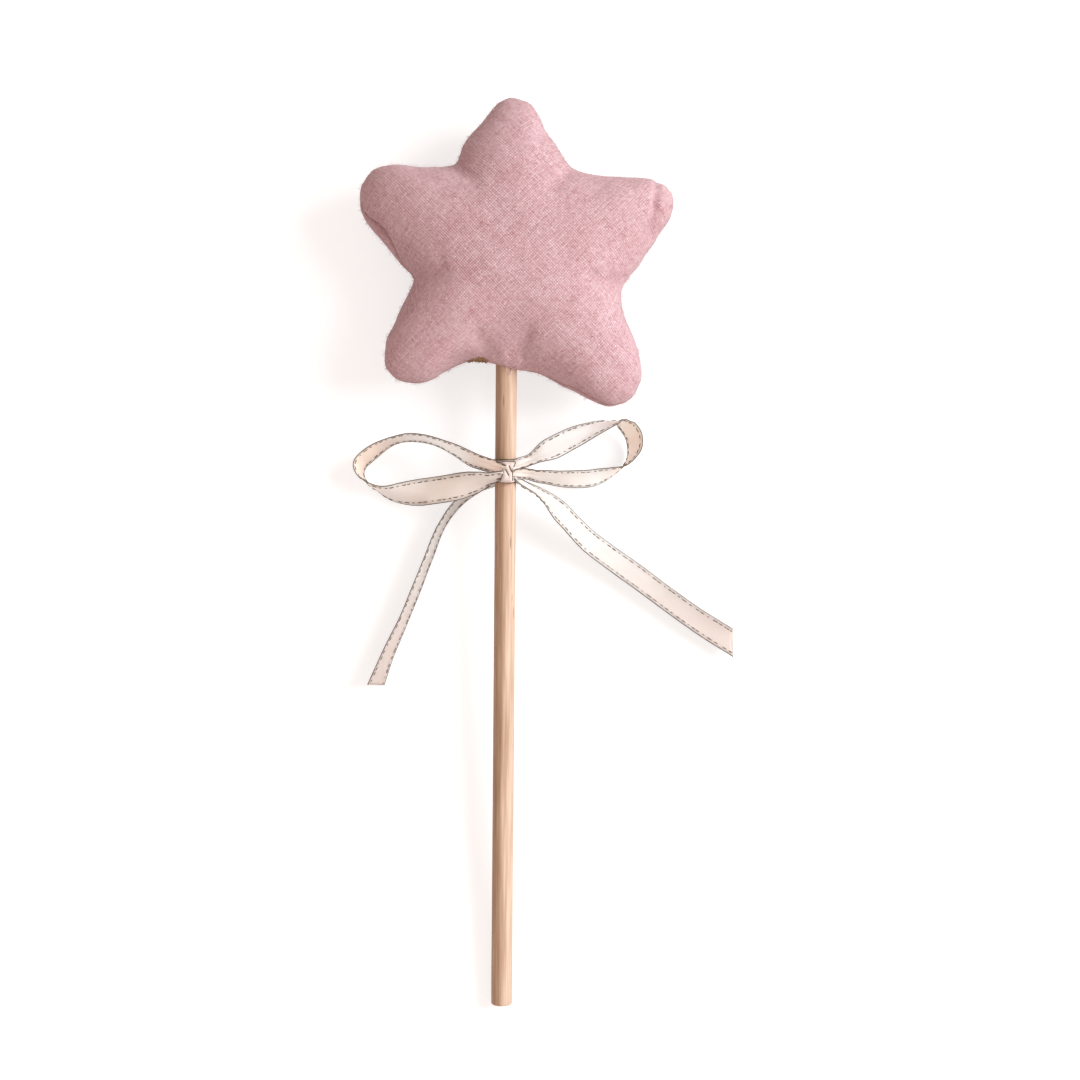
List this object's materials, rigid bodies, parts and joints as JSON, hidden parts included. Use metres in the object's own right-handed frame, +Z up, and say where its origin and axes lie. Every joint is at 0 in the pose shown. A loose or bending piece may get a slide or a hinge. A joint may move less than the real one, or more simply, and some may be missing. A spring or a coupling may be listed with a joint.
{
  "type": "star wand rattle",
  "caption": "Stuffed fabric star on a wooden dowel, with a capsule of loose pellets inside that rattles when shaken and a ribbon bow tied round the handle.",
  "frame": {"origin": "on the table under the middle of the star, where the star's back rests, in line with the dowel", "axes": "+Y along the wand from the dowel's free end to the star's top point, +Z up out of the star's front, +X to the right seen from the front"},
  "size_m": [0.149, 0.3458, 0.0435],
  "materials": {
    "beech_wood": "satin",
    "pink_fabric": "matte",
    "pink_thread": "matte",
    "tan_thread": "matte",
    "fibre_fill": "matte",
    "dried_glue": "satin",
    "capsule_plastic": "satin",
    "pellet_steel": "satin",
    "ribbon_satin": "satin"
  },
  "bodies": {
    "wand": {"dowel": "beech_wood", "star_front_panel": "pink_fabric", "star_back_panel": "pink_fabric", "seam_thread": "pink_thread", "closing_stitches": "tan_thread", "stuffing_front": "fibre_fill", "stuffing_back": "fibre_fill", "glue_collar": "dried_glue", "capsule_front": "capsule_plastic", "capsule_back": "capsule_plastic", "ribbon_wrap": "ribbon_satin", "bow_knot": "ribbon_satin", "bow_loop_left": "ribbon_satin", "bow_loop_right": "ribbon_satin", "ribbon_tail_left": "ribbon_satin", "ribbon_tail_right": "ribbon_satin"},
    "pellet_1": {"pellet_1": "pellet_steel"},
    "pellet_2": {"pellet_2": "pellet_steel"},
    "pellet_3": {"pellet_3": "pellet_steel"},
    "pellet_4": {"pellet_4": "pellet_steel"},
    "pellet_5": {"pellet_5": "pellet_steel"},
    "pellet_6": {"pellet_6": "pellet_steel"}
  },
  "joints": [
    {"name": "pellet_1_hop", "type": "slide", "parent": "wand", "child": "pellet_1", "axis": [0, 0, 1], "range_m": [0, 0.0088]},
    {"name": "pellet_2_hop", "type": "slide", "parent": "wand", "child": "pellet_2", "axis": [0, 0, 1], "range_m": [0, 0.0088]},
    {"name": "pellet_3_hop", "type": "slide", "parent": "wand", "child": "pellet_3", "axis": [0, 0, 1], "range_m": [0, 0.0088]},
    {"name": "pellet_4_hop", "type": "slide", "parent": "wand", "child": "pellet_4", "axis": [0, 0, 1], "range_m": [0, 0.0088]},
    {"name": "pellet_5_hop", "type": "slide", "parent": "wand", "child": "pellet_5", "axis": [0, 0, 1], "range_m": [0, 0.0088]},
    {"name": "pellet_6_hop", "type": "slide", "parent": "wand", "child": "pellet_6", "axis": [0, 0, 1], "range_m": [0, 0.0088]}
  ]
}
